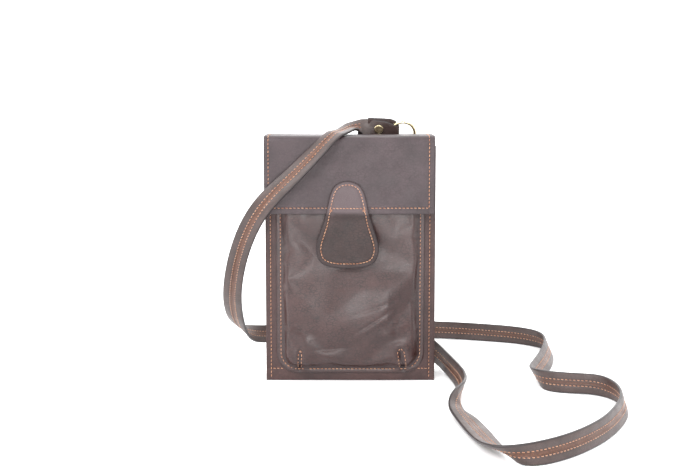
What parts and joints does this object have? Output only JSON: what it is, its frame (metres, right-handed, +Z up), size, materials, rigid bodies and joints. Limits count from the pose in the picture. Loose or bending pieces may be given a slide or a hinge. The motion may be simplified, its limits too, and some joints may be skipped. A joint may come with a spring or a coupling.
{
  "type": "neck pouch wallet",
  "caption": "Flat leather neck pouch wallet with a fold-over flap, a closure tongue, a raised front pocket and a long flat neck strap on metal rings.",
  "frame": {"origin": "centre of the base, on the surface it stands on", "axes": "+Z up towards the flap fold, front faces -Y, +X to the right of someone facing the front"},
  "size_m": [0.2738, 0.2728, 0.1868],
  "materials": {
    "body_leather": "dark brown smooth leather, soft sheen",
    "flap_leather": "dark taupe-brown fine-grain leather, satin",
    "tab_leather": "dark brown pebbled leather, soft sheen",
    "strap_leather": "dark brown strap leather, waxed edges",
    "lining": "dark woven lining",
    "thread": "tan waxed thread",
    "brass": "pale polished brass",
    "magnet": "plated steel disc"
  },
  "bodies": {
    "pouch": {"back_panel": "body_leather", "front_panel": "body_leather", "base_gusset": "body_leather", "side_gusset_left": "body_leather", "side_gusset_right": "body_leather", "lining_bag": "lining", "front_pocket": "body_leather", "pocket_hem": "body_leather", "pocket_magnet": "magnet", "thread_pocket_seam": "thread", "ring_tab_left": "strap_leather", "ring_tab_right": "strap_leather", "thread_side_seam_left": "thread", "thread_side_seam_right": "thread", "thread_base_seam_left": "thread", "thread_base_seam_right": "thread", "strap_front_length": "strap_leather", "strap_back_length": "strap_leather"},
    "flap": {"flap_shell": "flap_leather", "flap_lining": "lining", "closure_tab_base": "tab_leather", "thread_flap_left": "thread", "thread_flap_right": "thread", "thread_tab_base": "thread"},
    "tongue": {"closure_tongue": "tab_leather", "tongue_backing": "lining", "tongue_magnet": "magnet", "thread_tongue": "thread"},
    "ring_right": {"ring_right": "brass", "strap_end_right": "strap_leather", "rivet_right": "brass"},
    "ring_left": {"ring_left": "brass", "strap_end_left": "strap_leather", "rivet_left": "brass"}
  },
  "joints": [
    {"name": "flap_hinge", "type": "hinge", "parent": "pouch", "child": "flap", "pos_m": [0, 0.015, 0.1712], "axis": [-1, 0, 0], "range_deg": [0, 150], "deforming": ["strap_front_length"]},
    {"name": "tongue_hinge", "type": "hinge", "parent": "flap", "child": "tongue", "pos_m": [0, -0.023, 0.12], "axis": [-1, 0, 0], "range_deg": [0, 90], "stiffness_Nm_per_rad": 0.002, "springref_deg": -17.19},
    {"name": "ring_right_swing", "type": "hinge", "parent": "pouch", "child": "ring_right", "pos_m": [0, 0.015, 0.1712], "axis": [-1, 0, 0], "range_deg": [0, 150]},
    {"name": "ring_left_swing", "type": "hinge", "parent": "pouch", "child": "ring_left", "pos_m": [0, 0.015, 0.1712], "axis": [1, 0, 0], "range_deg": [0, 50], "deforming": ["strap_back_length"]}
  ],
  "couplings": [
    {"joint": "ring_right_swing", "follows": "flap_hinge", "ratio": 1}
  ]
}
